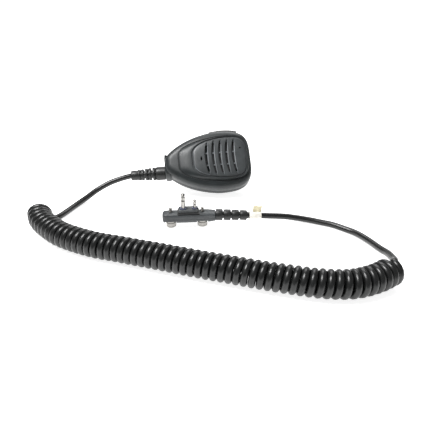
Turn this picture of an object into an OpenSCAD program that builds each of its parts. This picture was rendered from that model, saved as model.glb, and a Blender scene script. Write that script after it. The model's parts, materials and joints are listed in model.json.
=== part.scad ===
// Hand microphone with a curly cord and a two-pin radio plug, lying on a table.
// Origin: under the middle of the microphone, on the table. +X runs along the microphone
// to its top end, +Y to the side with the talk key, +Z up. Millimetres throughout.

/* [Microphone] */
// Length of the microphone housing
mic_len = 79; // [78:0.5:80]
// Width of the microphone housing
mic_wide = 56; // [55:0.5:58]
// Thickness of the housing's walls
wall = 2; // [1.8:0.1:2.2]
// Angle at which the microphone leans on its belt clip
lean = 48; // [47:0.5:49]

/* [Grille] */
// Number of sound slots in the grille panel
slot_count = 5; // [3:1:5]
// Distance between neighbouring slots
slot_pitch = 6.1; // [5.5:0.1:6.4]
// Width of the slot's recess
slot_wide = 3.4; // [2.4:0.1:3.6]

/* [Speaker] */
// Outer radius of the speaker
speaker_r = 15.5; // [14:0.5:15.5]

/* [Talk key] */
// Length of the talk key along the housing
key_len = 26; // [20:1:26]
// Height of the talk key
key_tall = 12; // [10:0.5:12]
// How far the talk key stands out of the side
key_proud = 1.3; // [0.8:0.1:1.5]

/* [Belt clip] */
// Width of the clip's lever
clip_wide = 18; // [17:0.5:18]
// Radius of the clip's hinge pin
clip_pin_r = 1; // [0.8:0.1:1.2]

/* [Cord] */
// Diameter of the cable
cable_d = 5; // [4.6:0.1:5.2]
// Outer diameter of the curly stretch
curl_d = 19.6; // [18.6:0.2:19.6]

/* [Plug] */
// Length of the plug's housing
plug_len = 43; // [42:0.5:44]
// Width of the plug's housing
plug_wide = 10; // [9.6:0.1:10]
// Distance between the plug's two pins
pin_gap = 9.2; // [8.6:0.1:10]
// Diameter of the larger pin
big_pin_d = 3.5; // [3.4:0.05:3.6]
// Diameter of the smaller pin
small_pin_d = 2.5; // [2.4:0.05:2.6]
// Diameter of the thumb screws' knobs
knob_d = 8.3; // [7.5:0.1:8.5]

/* [Hidden] */
$fn = 48;

// Heights in the microphone's own frame: z = 0 is its back, +z the side that faces the talker.
split_z = 13;
ceiling_z = 23.5;
rim_z = 25.6;
pocket_z = 25.8;
panel_z = 26.2;
face_z = 27.9;
board_z = 8;
board_t = 1.4;
mic_shift = 6.8;
lever_back = -17.2;
turn = 3.5;
mic_lift = clip_wide / 2 * sin(lean) - lever_back * cos(lean) - 0.42;

// Height and inset of each layer of the housing's rounded edges.
layer_t = 0.2;
back_edge_z = 7;
front_edge_z = 20;
BACK_EDGE = [[0, 7], [1, 4], [3.5, 1.3], [back_edge_z - layer_t, 0]];
FRONT_EDGE = [[front_edge_z, 0], [22, 0.7], [23.7, 2.6], [rim_z - layer_t, 5.6]];

// Places in the microphone's own frame.
speaker_at = [14, 0];
capsule_at = [-6.3, 0];
vent_at = [29.5, 7.2];
first_slot_x = -1.4;
key_x = 3.5;
key_z = 8.5;
post_x = 15.5;
clip_at = [6, 0];
hinge_dx = 6;
hinge_z = -7.5;
SCREWS = [[-24, 12], [-24, -12], [33.3, 0]];
lead_at = [-3.9, 9.5];
anchor_x = -29.2;
ANCHOR_SCREWS = [[anchor_x, lead_at[0] - 5], [anchor_x, lead_at[0] + 5]];
cap_hinge = [-38.6, 8.8];
jack_at = [-33.4, 17.2];

// The strain relief's two ends, in the table's frame.
relief_from = on_table([-39, -4.5, 9.5]);
relief_to = [-71.5, -5, 17.3];

// Route of each cord, in the table's frame.
MIC_ROUTE = [
    [-71.5, -5, 17.3], [-81.3, -4.6, 14.6], [-92.2, -6.9, 11.5], [-102.8, -12.2, 7.5],
    [-111.9, -22.3, 4.2], [-120, -34.5, 2.6], [-126.5, -48.5, 2.6], [-130.7, -53.5, 2.6],
    [-138, -56.5, 2.6]];
COIL_ROUTE = [
    [-141, -57.5], [-136, -69], [-127, -80], [-115, -91.5], [-100, -101], [-85, -108.5],
    [-71, -113.5], [-54, -120], [-33, -128], [-12.5, -136], [7, -143], [26, -150], [44.5, -156],
    [62, -161], [81, -163], [98, -159], [112, -152]];
PLUG_ROUTE = [
    [29, -70.5, 8.5], [44.3, -70.5, 7.3], [59.6, -69.5, 5.5], [69.8, -70, 4], [79.4, -72.1, 3],
    [88.5, -76, 2.6], [97, -80.6, 2.6], [104.7, -87.4, 2.6], [111.3, -95.6, 3.2],
    [114.8, -109.3, 5.5], [115.8, -126.3, 9.5], [116.3, -136.6, 12.5], [114.4, -148, 15.8]];

// The plug, in the table's frame.
plug_y = -69;
plug_x = -40.6;
plug_z = 4.4;
plug_top = 13;
cover_t = 3.8;
boss_z = 16;
pin_x = -23.4;
SCREW_X = [-33.8, -8.2];
COVER_SCREW_X = [-27.5, -18.8];
big_pin_top = 29.5;
small_pin_top = 24;
plug_relief_from = [-0.6, plug_y - 0.3, 9.6];
plug_relief_to = [29, -70.5, 8.5];
thread_r = 1.3;
shank_r = 1.05;

function smooth_power(v, n) = sign(v) * pow(abs(v), 2 / n);
// Points of a rounded outline: half length a, half width b, squareness n, narrowed at the -x end.
function outline(a, b, n, drop, reach, x0 = 0, steps = 60) = [
    for (i = [0 : steps - 1])
        let (x = a * smooth_power(cos(360 * i / steps), n),
             y = b * smooth_power(sin(360 * i / steps), n),
             u = (x + a) / (2 * a))
        [x0 + x, y * (1 - drop * pow(1 - min(1, u / reach), 1.7))]];
function housing_outline(inset) =
    outline(mic_len / 2 - inset, mic_wide / 2 - inset, 4, 0.6, 0.65);
function panel_outline(grow) = outline(23.6 + grow, 18.4 + grow, 4.6, 0.36, 0.6, 10.2);
function island_outline() = outline(32.1, 21.2, 4.6, 0.4, 0.65, 5);

function mid(a, b, c, d, t) = 0.5 * (2 * b + (c - a) * t + (2 * a - 5 * b + 4 * c - d) * t * t
    + (3 * b - a - 3 * c + d) * t * t * t);
// A smooth path through hand-set points.
function smooth(p, n) = let (last = len(p) - 1) concat(
    [for (i = [0 : last - 1], k = [0 : n - 1])
        mid(p[max(i - 1, 0)], p[i], p[i + 1], p[min(i + 2, last)], k / n)], [p[last]]);
function unit(v) = v / norm(v);
function heading(p, i) = unit(p[min(i + 1, len(p) - 1)] - p[max(i - 1, 0)]);

// A closed skin over rings of points that follow each other.
module skin(points, sides) {
    count = len(points) / sides;
    polyhedron(points, concat(
        [[for (k = [0 : sides - 1]) k]],
        [for (i = [0 : count - 2], k = [0 : sides - 1])
            let (a = i * sides + k, b = i * sides + (k + 1) % sides) [a, a + sides, b + sides, b]],
        [[for (k = [sides - 1 : -1 : 0]) (count - 1) * sides + k]]), convexity = 10);
}

// A round tube along a path.
module tube(path, r, sides) skin([for (i = [0 : len(path) - 1])
    let (t = heading(path, i), n = unit(cross([0, 0, 1], t)), b = cross(t, n))
    for (k = [0 : sides - 1]) path[i] + r * (cos(360 * k / sides) * n + sin(360 * k / sides) * b)], sides);

// A point of the microphone's own frame, in the table's frame.
function on_table(p) = let (x = p[0] * cos(turn) - p[1] * sin(turn), y = p[0] * sin(turn) + p[1] * cos(turn))
    [x, y * cos(lean) - p[2] * sin(lean) + mic_shift, y * sin(lean) + p[2] * cos(lean) + mic_lift];
// Puts the microphone's own frame on the table.
module mic() translate([0, mic_shift, mic_lift]) rotate([lean, 0, 0]) rotate([0, 0, turn]) children();

// Draws children with +z along the line from a to b, starting at a.
module along(a, b) {
    d = b - a;
    translate(a) rotate([0, acos(d[2] / norm(d)), atan2(d[1], d[0])]) children();
}

module disc(x, y, z, r, h) translate([x, y, z]) cylinder(r = r, h = h);
module block(x, y, z) translate([x[0], y[0], z[0]]) cube([x[1] - x[0], y[1] - y[0], z[1] - z[0]]);
module ring_solid(r_out, r_in, h) difference() {
    cylinder(r = r_out, h = h);
    translate([0, 0, -1]) cylinder(r = r_in, h = h + 2);
}

// A slab of the housing's outline, from one height to another.
module slab(z0, z1, inset) translate([0, 0, z0]) linear_extrude(z1 - z0) polygon(housing_outline(inset));
module rounded_edge(layers) hull() for (layer = layers) slab(layer[0], layer[0] + layer_t, layer[1]);

// The space inside the housing.
module cavity() {
    slab(2.2, 9, 8);
    slab(4, ceiling_z, 3.8);
    slab(back_edge_z - 1, front_edge_z + 2, wall);
}
module relief_bore() along(relief_from, relief_to) {
    translate([0, 0, -3]) cylinder(r = 4.4, h = 20);
    translate([0, 0, 1.1]) cylinder(r = 6.45, h = 20);
}

// One bowed slot: its middle lies at x, its ends curve towards +x.
module bowed(x, wide, from, to, bow = 81) {
    far = [for (i = [0 : 10]) let (y = from + (to - from) * i / 10)
        [x - wide / 2 + bow - sqrt(bow * bow - y * y), y]];
    polygon(concat(far, [for (i = [10 : -1 : 0]) far[i] + [wide, 0]]));
}

module front_shell() color("#2c2f2e") difference() {
    mic() difference() {
        union() {
            difference() {
                union() {
                    slab(split_z, front_edge_z + 0.1, 0);
                    rounded_edge(FRONT_EDGE);
                    hull() {
                        translate([0, 0, rim_z - 0.4]) linear_extrude(0.2) polygon(island_outline());
                        translate([0, 0, face_z - 0.1]) linear_extrude(0.1) polygon(panel_outline(1.8));
                    }
                    block([-40, -30], [-11.5, 8.5], [split_z, 21.5]);
                    for (z = [13.1, 20.1]) {
                        disc(cap_hinge[0], cap_hinge[1], z, 1.4, 1.3);
                        block([-40, -37.2], [6, cap_hinge[1]], [z, z + 1.3]);
                    }
                }
                cavity();
                block([-38.1, -29], [-1.5, 7.1], [split_z - 0.3, 20.9]);
                translate([0, 0, pocket_z]) linear_extrude(5) polygon(panel_outline(1.3));
            }
            for (p = SCREWS) disc(p[0], p[1], 14, 2.8, ceiling_z - 13.5);
        }
        disc(speaker_at[0], speaker_at[1], 20, speaker_r - 1.5, 8);
        disc(capsule_at[0], capsule_at[1], 20, 1.2, 8);
        disc(vent_at[0], vent_at[1], 20, 1, 8);
        for (p = SCREWS) disc(p[0], p[1], 10, 1.1, 11);
        key_hole();
        block([-37.2, -29], [7.3, 17], [13.2, 21.2]);
        block([-41, -37.1], [7, 12], [14.4, 20.1]);
        translate([jack_at[0], 0.5, jack_at[1]]) rotate([-90, 0, 0]) cylinder(r = 3.05, h = 10);
        disc(cap_hinge[0], cap_hinge[1], 11, 0.55, 12);
    }
    relief_bore();
}

module rear_shell() color("#2a2d2c") difference() {
    mic() difference() {
        union() {
            difference() {
                union() {
                    slab(back_edge_z - 0.1, split_z, 0);
                    rounded_edge(BACK_EDGE);
                    block([-40, -32], [-11.5, 7], [2.5, split_z]);
                }
                cavity();
            }
            disc(clip_at[0], clip_at[1], 0.5, 13, 3.7);
            disc(clip_at[0], clip_at[1], 0.6, 3.6, 6.8);
            for (p = SCREWS) disc(p[0], p[1], 0.5, 2.8, split_z);
            for (p = ANCHOR_SCREWS) disc(p[0], p[1], 1, 1.6, 4.4);
        }
        disc(clip_at[0], clip_at[1], -1, 10.4, 3);
        disc(clip_at[0], clip_at[1], 1, 1.25, 6);
        for (p = SCREWS) {
            disc(p[0], p[1], -1, 1.4, 20);
            disc(p[0], p[1], -1, 2.3, 4);
        }
        for (p = ANCHOR_SCREWS) disc(p[0], p[1], 2.4, 0.8, 5);
        key_hole();
        translate([-40, lead_at[0], lead_at[1]]) rotate([0, 90, 0]) cylinder(r = cable_d / 2 + 0.3, h = 14);
    }
    relief_bore();
}

// The opening in the side wall that the talk key moves in.
module key_hole()
    block([key_x - 0.4, key_x + key_len + 0.4], [20, 32], [key_z - 0.4, key_z + key_tall + 0.4]);

module shell_gasket() color("#1b1b1b") mic() translate([0, 0, split_z - 0.5]) intersection() {
    linear_extrude(1) difference() {
        polygon(housing_outline(wall));
        polygon(housing_outline(wall + 0.9));
    }
    union() {
        block([-29, 45], [-40, 0.1], [-1, 3]);
        block([32.8, 45], [0, 40], [-1, 3]);
        block([-29, 0], [0, 40], [-1, 3]);
    }
}

module grille_panel() color("#3a3d3c") mic() difference() {
    union() {
        translate([0, 0, panel_z]) linear_extrude(0.8) polygon(panel_outline(1.1));
        hull() {
            translate([0, 0, panel_z]) linear_extrude(1.5) polygon(panel_outline(0));
            translate([0, 0, panel_z + 2.2]) linear_extrude(0.1) polygon(panel_outline(-1));
            translate([0, 0, panel_z + 2.7]) linear_extrude(0.1) polygon(panel_outline(-8));
        }
    }
    for (i = [0 : slot_count - 1]) {
        x = first_slot_x + slot_pitch * i;
        reach = i == 0 ? 15 : 16.5;
        translate([0, 0, panel_z + 1.5]) linear_extrude(3) bowed(x, slot_wide, -reach, reach);
        for (slit = [[1 - reach, -7.1], [-5.9, 4.2], [5.4, reach - 1]])
            translate([0, 0, panel_z - 1]) linear_extrude(3) bowed(x, 1.5, slit[0], slit[1]);
    }
    translate([capsule_at[0], capsule_at[1], panel_z - 1]) {
        block([-0.65, 0.65], [-1.6, 1.6], [0, 6]);
        for (y = [-1.6, 1.6]) disc(0, y, 0, 0.65, 6);
    }
    disc(vent_at[0], vent_at[1], panel_z - 1, 0.65, 6);
}

module dust_mesh() color("#202020") mic()
    disc(speaker_at[0], speaker_at[1], pocket_z, speaker_r, panel_z - pocket_z);

module speaker_frame() color("#8c8f91") mic() translate([speaker_at[0], speaker_at[1], 0]) rotate_extrude()
    polygon([[6.2, 14.5], [9.5, 14.5], [speaker_r - 1, 20.6], [speaker_r, 20.6], [speaker_r, 22],
             [speaker_r - 2, 22], [speaker_r - 2, 21.2], [8.9, 15.5], [6.2, 15.5]]);
module speaker_magnet() color("#55585a") mic() disc(speaker_at[0], speaker_at[1], 10.4, 9.2, 4.1);
module speaker_cone() color("#1f1f1f") mic() translate([speaker_at[0], speaker_at[1], 0]) rotate_extrude()
    polygon([[0, 19.6], [2.6, 19], [4.6, 17.2], [4.6, 15.9], [5, 15.9], [5, 17.4], [speaker_r - 3, 21.3],
             [speaker_r - 2, 22], [speaker_r, 22], [speaker_r, 22.3], [speaker_r - 2.2, 22.3],
             [speaker_r - 3.2, 21.7], [4.9, 17.8], [2.8, 19.5], [0, 20.1]]);
module speaker_gasket() color("#3b3b3b") mic() translate([speaker_at[0], speaker_at[1], 22.3])
    ring_solid(speaker_r, speaker_r - 1.6, ceiling_z - 22.3);

module mic_capsule() color("#b9bcbe") mic() disc(capsule_at[0], capsule_at[1], 19.4, 3, 2.8);
module mic_boot() color("#1c1c1c") mic() difference() {
    disc(capsule_at[0], capsule_at[1], 18.6, 3.6, ceiling_z - 18.6);
    disc(capsule_at[0], capsule_at[1], 18, 3, 4.2);
    disc(capsule_at[0], capsule_at[1], 18, 1.2, 10);
}
module vent_membrane() color("#e8e8e4") mic() disc(vent_at[0], vent_at[1], ceiling_z - 0.3, 1.5, 0.3);

module circuit_board() color("#1f5a3a") mic() translate([0, 0, board_z]) difference() {
    intersection() {
        linear_extrude(board_t) polygon(housing_outline(wall + 2.6));
        block([-28.3, 28.6], [-40, 17.6], [-1, 5]);
    }
    for (p = SCREWS) disc(p[0], p[1], -1, 3.2, 5);
    block([-30, -20], [-9, 2.5], [-1, 5]);
}
module tact_switch() color("#303234") mic() difference() {
    block([post_x - 3.5, post_x + 3.5], [13.6, 19], [board_z + board_t, 17.4]);
    translate([post_x, 16.6, key_z + key_tall / 2]) rotate([-90, 0, 0]) cylinder(r = 1.6, h = 5);
}
module switch_plunger() color("#d9d6cc") mic() translate([post_x, 17.2, key_z + key_tall / 2])
    rotate([-90, 0, 0]) cylinder(r = 1.5, h = 3);

// A slice of the side wall between two insets, over the given length and height.
module wall_slice(outer, inner, x, z) intersection() {
    translate([0, 0, z[0]]) linear_extrude(z[1] - z[0]) difference() {
        polygon(housing_outline(outer));
        polygon(housing_outline(inner));
    }
    block(x, [5, 40], z);
}
module ptt_key() color("#393a38") mic() {
    wall_slice(-key_proud, 2.5, [key_x, key_x + key_len], [key_z, key_z + key_tall]);
    wall_slice(2.4, 3.3, [key_x - 1.2, key_x + key_len + 1.2], [key_z - 1.2, key_z + key_tall + 1.2]);
    translate([post_x, 21.2, key_z + key_tall / 2]) rotate([-90, 0, 0]) cylinder(r = 1.8, h = 4);
}
module ptt_seal() color("#191919") mic() difference() {
    union() {
        wall_slice(4.8, 5.5, [0.3, 32.7], [key_z - 1.2, key_z + key_tall + 1]);
        wall_slice(wall, 5.5, [0.3, 1.8], [key_z - 1.2, key_z + key_tall + 1]);
        wall_slice(wall, 5.5, [31.2, 32.7], [key_z - 1.2, key_z + key_tall + 1]);
    }
    translate([post_x, 18, key_z + key_tall / 2]) rotate([-90, 0, 0]) cylinder(r = 2.2, h = 10);
}

module housing_screws() color("silver") mic() for (p = SCREWS) difference() {
    union() {
        disc(p[0], p[1], 1.2, 2.1, 1.8);
        disc(p[0], p[1], 2.9, 1.1, 16);
    }
    translate([p[0] - 0.3, p[1] - 1.5, 0]) cube([0.6, 3, 1.9]);
    translate([p[0] - 1.5, p[1] - 0.3, 0]) cube([3, 0.6, 1.9]);
}

module earphone_jack() color("#26282a") mic() difference() {
    union() {
        block([jack_at[0] - 4, jack_at[0] + 4], [-1.3, 6.9], [jack_at[1] - 3.6, jack_at[1] + 3.6]);
        translate([jack_at[0], 6.8, jack_at[1]]) rotate([-90, 0, 0]) cylinder(r = 3, h = 0.5);
    }
    translate([jack_at[0], -0.1, jack_at[1]]) rotate([-90, 0, 0]) cylinder(r = 1.8, h = 12);
}
module jack_cap() color("#1d1e1e") mic() difference() {
    union() {
        block([-36.9, -29.3], [7.6, 8.8], [13.5, 20.9]);
        disc(cap_hinge[0], cap_hinge[1], 14.7, 1.2, 5.1);
        block([cap_hinge[0] + 0.9, -36.5], [7.9, 8.8], [14.7, 19.8]);
    }
    disc(cap_hinge[0], cap_hinge[1], 13, 0.6, 8);
}
module jack_cap_pin() color("silver") mic() disc(cap_hinge[0], cap_hinge[1], 13.3, 0.55, 7.9);

module cord_anchor() color("#4a4c4e") mic() translate([anchor_x, lead_at[0], 0]) difference() {
    union() {
        block([-1.7, 1.7], [-5.9, 5.9], [5.4, 6.8]);
        block([-1.7, 1.7], [-3.6, 3.6], [5.4, lead_at[1] + cable_d / 2 + 1.4]);
    }
    for (y = [-5, 5]) disc(0, y, 3, 0.8, 6);
    translate([-4, 0, lead_at[1]]) rotate([0, 90, 0]) cylinder(r = cable_d / 2, h = 8);
    block([-4, 4], [-cable_d / 2, cable_d / 2], [3, lead_at[1]]);
}
module anchor_screws() color("silver") mic() for (p = ANCHOR_SCREWS) {
    disc(p[0], p[1], 6.8, 1.3, 1);
    disc(p[0], p[1], 2.6, 0.8, 4.3);
}

// A rubber strain relief: a smooth collar, ribs with bridges between them, and an end ring.
module mic_strain_relief() color("#161717") along(relief_from, relief_to) {
    total = norm(relief_to - relief_from);
    difference() {
        union() {
            cylinder(r = 4.35, h = 6);
            translate([0, 0, 1.2]) cylinder(r = 6.3, h = 8.3);
            for (i = [0 : 4]) translate([0, 0, 10.6 + 3.45 * i]) cylinder(r = 6.2 - 0.3 * i, h = 2.2);
            translate([0, 0, 9]) cylinder(r = 3.6, h = total - 12);
            translate([0, 0, total - 7]) cylinder(r = 4.5, h = 7);
        }
        translate([0, 0, -2]) cylinder(r = cable_d / 2, h = total + 4);
    }
    for (i = [0 : 5], s = [-1, 1]) rotate([0, 0, i % 2 * 90]) translate([s * 4 - 1, -1.2, 8.6 + 3.45 * i])
        cube([1.7, 2.4, 2.6]);
}
module inner_lead() color("#141414") tube([
    on_table([-27, lead_at[0], lead_at[1]]), on_table([-35, lead_at[0], lead_at[1]]),
    relief_from + 0.12 * (relief_to - relief_from), relief_to], cable_d / 2, 12);

module clip_base() color("#202221") mic() translate([clip_at[0], clip_at[1], 0]) difference() {
    union() {
        disc(0, 0, -0.4, 10, 1.8);
        for (s = [-1, 1]) translate([hinge_dx, s * 7.6, 0]) {
            block([-2.4, 2.4], [-0.8, 0.8], [hinge_z, -0.3]);
            translate([0, 0.8, hinge_z]) rotate([90, 0, 0]) cylinder(r = 2.4, h = 1.6);
        }
    }
    disc(0, 0, -3, 1.75, 6);
    translate([hinge_dx, -10, hinge_z]) rotate([-90, 0, 0]) cylinder(r = clip_pin_r, h = 20);
}
module clip_screw() color("silver") mic() difference() {
    union() {
        disc(clip_at[0], clip_at[1], -1.9, 2.9, 1.45);
        disc(clip_at[0], clip_at[1], -0.5, 1.7, 2.5);
        disc(clip_at[0], clip_at[1], 1.9, 1.25, 4.6);
    }
    translate([clip_at[0] - 0.35, clip_at[1] - 1.8, -2]) cube([0.7, 3.6, 1]);
    translate([clip_at[0] - 1.8, clip_at[1] - 0.35, -2]) cube([3.6, 0.7, 1]);
}
module clip_washer() color("#a9abad") mic()
    translate([clip_at[0], clip_at[1], 1.45]) ring_solid(4.5, 1.9, 0.55);

lever_x = clip_at[0] + hinge_dx;
// The lever seen from its side: a thumb pad, a slanted back and a jaw that meets the housing.
LEVER = [
    [16, lever_back], [16, lever_back + 1.7], [4, lever_back + 2], [-8, -12.6], [-24, -6.6],
    [-27.5, -0.8], [-29, -0.8], [-30.5, -5.6], [-10, -14.4], [-3, lever_back], [2, lever_back]];
module clip_lever() color("#222423") mic() translate([lever_x, clip_at[1], 0]) difference() {
    union() {
        translate([0, clip_wide / 2, 0]) rotate([90, 0, 0]) linear_extrude(clip_wide) polygon(LEVER);
        for (s = [-1, 1]) translate([0, s * 5.6, 0]) {
            block([-2.4, 2.4], [-0.8, 0.8], [lever_back + 1, hinge_z]);
            translate([0, 0.8, hinge_z]) rotate([90, 0, 0]) cylinder(r = 2.5, h = 1.6);
        }
    }
    translate([0, -10, hinge_z]) rotate([-90, 0, 0]) cylinder(r = clip_pin_r + 0.05, h = 20);
    for (x = [6 : 2 : 14]) block([x, x + 0.8], [-clip_wide, clip_wide], [lever_back - 1, lever_back + 0.5]);
}
module clip_pin() color("silver") mic() translate([lever_x, clip_at[1] - 8.6, hinge_z])
    rotate([-90, 0, 0]) cylinder(r = clip_pin_r, h = 17.2);

// The torsion spring: close turns round the hinge pin.
module clip_spring() color("#9fa2a4") mic() translate([lever_x, clip_at[1], hinge_z]) {
    steps = 48;
    skin([for (i = [0 : steps]) let (a = 30 * i) for (k = [0 : 7])
        [cos(a) * (1.6 + 0.25 * cos(45 * k)),
         -1.6 + 3.2 * i / steps + 0.25 * sin(45 * k),
         sin(a) * (1.6 + 0.25 * cos(45 * k))]], 8);
}

module mic_lead() color("#141414") tube(smooth(MIC_ROUTE, 2), cable_d / 2, 8);
module coil_cord() color("#121212")
    tube([for (p = smooth(COIL_ROUTE, 2)) [p[0], p[1], curl_d / 2]], curl_d / 2, 12);
module plug_lead() color("#141414") tube(smooth(PLUG_ROUTE, 2), cable_d / 2, 8);
// Paper tape folded round the cable, with a small flag standing on it.
module cord_tag() color("#ece9df") translate([30.2, -70.5, 8.3]) difference() {
    union() {
        rotate([0, 90, 0]) cylinder(r = 3.3, h = 9.7);
        block([2.6, 9.7], [-0.4, 0.4], [2.8, 8.5]);
    }
    translate([-1, 0, 0]) rotate([0, 90, 0]) cylinder(r = 2.6, h = 12);
}

// The plug's outline seen from above, over a height.
module plug_slab(z0, z1, inset) {
    r = plug_wide / 2;
    disc(plug_x + r, plug_y, z0, r - inset, z1 - z0);
    block([plug_x + r, plug_x + plug_len - inset], [plug_y - r + inset, plug_y + r - inset], [z0, z1]);
}
module plug_relief_bore() translate([plug_relief_from[0] - 3, plug_relief_from[1], plug_relief_from[2]])
    rotate([0, 90, 0]) cylinder(r = 2.9, h = 9);
module plug_body() color("#2b2d2e") difference() {
    union() {
        difference() {
            plug_slab(plug_z + cover_t, plug_top, 0);
            plug_slab(plug_z, plug_top - 1.4, 1.3);
        }
        for (x = SCREW_X) disc(x, plug_y, plug_z + cover_t, 2.6, plug_top - plug_z - cover_t - 0.8);
        for (x = COVER_SCREW_X) disc(x, plug_y, plug_z + cover_t, 1.7, plug_top - plug_z - cover_t - 1);
        block([-27.3, -11.7], [plug_y - 3.9, plug_y + 3.9], [plug_top - 0.6, boss_z]);
    }
    for (x = SCREW_X) {
        disc(x, plug_y, 0, shank_r + 0.08, 20);
        disc(x, plug_y, plug_top - 1, 2.4, 6);
    }
    disc(pin_x, plug_y, 5, 2.6, 20);
    disc(pin_x + pin_gap, plug_y, 5, 2.1, 20);
    plug_relief_bore();
    for (x = COVER_SCREW_X) disc(x, plug_y, 4, 0.8, 7);
}
module plug_cover() color("#26282a") difference() {
    plug_slab(plug_z, plug_z + cover_t, 0);
    for (x = SCREW_X) {
        disc(x, plug_y, 0, shank_r + 0.08, 20);
        disc(x, plug_y, 0, knob_d / 2 + 0.4, 6.35);
        block([x - knob_d / 2 - 0.4, x + knob_d / 2 + 0.4], [plug_y - 9, plug_y], [0, 6.35]);
    }
    for (x = COVER_SCREW_X) {
        disc(x, plug_y, 0, 0.9, 20);
        disc(x, plug_y, 0, 1.5, plug_z + 0.9);
    }
    plug_relief_bore();
}
module cover_screws() color("silver") for (x = COVER_SCREW_X) {
    disc(x, plug_y, plug_z + 0.1, 1.4, 0.8);
    disc(x, plug_y, plug_z + 0.8, 0.8, 5.2);
}
module plug_board() color("#1f5a3a") difference() {
    block([-26.7, -11.1], [plug_y - 3.5, plug_y + 3.5], [9.6, 10.4]);
    disc(pin_x, plug_y, 9, 1.3, 4);
    disc(pin_x + pin_gap, plug_y, 9, 1, 4);
    for (x = COVER_SCREW_X) disc(x, plug_y, 9, 2, 4);
}
module plug_seal() color("#111111") difference() {
    block([-28.2, -10.9], [plug_y - 4.7, plug_y + 4.7], [plug_top, plug_top + 0.7]);
    block([-27.3, -11.7], [plug_y - 3.9, plug_y + 3.9], [plug_top - 1, plug_top + 2]);
}

// A jack pin: a stem through its collar, then its sleeve, its ring and its rounded tip.
collar_top = boss_z + 0.5;
collar_from = plug_top - 1.6;
module jack_pin(x, d, top) translate([x, plug_y, 0]) rotate_extrude()
    polygon([[0, 9], [d / 4, 9], [d / 4, collar_from - 0.4], [d * 0.36, collar_from - 0.4],
             [d * 0.36, collar_top], [d / 2, collar_top], [d / 2, top - d * 1.9],
             [d * 0.3, top - d * 1.85], [d * 0.3, top - d * 1.65], [d / 2, top - d * 1.6],
             [d / 2, top - d * 0.95], [d * 0.36, top - d * 0.8], [d * 0.36, top - d * 0.7],
             [d * 0.5, top - d * 0.4], [d * 0.12, top], [0, top]]);
module pin_large() color("#c9cbcd") jack_pin(pin_x, big_pin_d, big_pin_top);
module pin_small() color("#c9cbcd") jack_pin(pin_x + pin_gap, small_pin_d, small_pin_top);
module insulator(x, d, top) translate([x, plug_y, top - d * 1.8]) ring_solid(d * 0.4, d * 0.3, d * 0.1);
module pin_insulators() color("#111111") {
    insulator(pin_x, big_pin_d, big_pin_top);
    insulator(pin_x + pin_gap, small_pin_d, small_pin_top);
}
module collar(x, r, d) translate([x, plug_y, collar_from]) ring_solid(r, d * 0.36, collar_top - collar_from);
module pin_collars() color("#1a1a1a") {
    collar(pin_x, 2.6, big_pin_d);
    collar(pin_x + pin_gap, 2.1, small_pin_d);
}

// A thumb screw: a knurled knob under the plug, a plain shank and a threaded tip above it.
module thumb_screw(x) color("#bfc1c3") translate([x, plug_y, 0]) {
    difference() {
        cylinder(r = knob_d / 2, h = 6);
        for (i = [0 : 23]) rotate([0, 0, 15 * i]) translate([knob_d / 2 + 0.1, 0, -1])
            cylinder(r = 0.35, h = 8, $fn = 4);
        translate([-5, -0.4, -1]) cube([10, 0.8, 1.8]);
    }
    cylinder(r = shank_r, h = plug_top + 0.5);
    translate([0, 0, plug_top + 0.2]) cylinder(r = thread_r, h = 3.4);
}
module thumb_screw_left() thumb_screw(SCREW_X[0]);
module thumb_screw_right() thumb_screw(SCREW_X[1]);
module screw_rings() color("#151515") for (x = SCREW_X)
    translate([x, plug_y, plug_top - 1]) ring_solid(2.4, shank_r + 0.08, 0.9);

module plug_strain_relief() color("#161717") along(plug_relief_from, plug_relief_to) {
    total = norm(plug_relief_to - plug_relief_from);
    difference() {
        union() {
            cylinder(r = 2.8, h = total);
            for (i = [0 : 3]) translate([0, 0, 3.6 + 6.6 * i])
                cylinder(r = 4.2 - 0.2 * i, h = min(5.7, total - 3.6 - 6.6 * i));
        }
        translate([0, 0, 2]) cylinder(r = cable_d / 2, h = total);
    }
}
module plug_inner_lead() color("#141414") along(plug_relief_from, plug_relief_to)
    translate([0, 0, 2]) cylinder(r = cable_d / 2, h = norm(plug_relief_to - plug_relief_from) - 2);

front_shell();
rear_shell();
shell_gasket();
grille_panel();
dust_mesh();
speaker_frame();
speaker_magnet();
speaker_cone();
speaker_gasket();
mic_capsule();
mic_boot();
vent_membrane();
circuit_board();
tact_switch();
switch_plunger();
ptt_key();
ptt_seal();
housing_screws();
earphone_jack();
jack_cap();
jack_cap_pin();
cord_anchor();
anchor_screws();
mic_strain_relief();
inner_lead();
clip_base();
clip_screw();
clip_washer();
clip_lever();
clip_pin();
clip_spring();
mic_lead();
coil_cord();
plug_lead();
cord_tag();
plug_body();
plug_cover();
cover_screws();
plug_board();
plug_seal();
pin_large();
pin_small();
pin_insulators();
pin_collars();
thumb_screw_left();
thumb_screw_right();
screw_rings();
plug_strain_relief();
plug_inner_lead();
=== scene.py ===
"""The looks of the hand microphone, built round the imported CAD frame.

The pieces made here stand in for the CAD nodes they name; every other piece is a CAD node with a material.
"""
import json
import math

import bmesh
import bpy
from mathutils import Matrix, Vector

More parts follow.
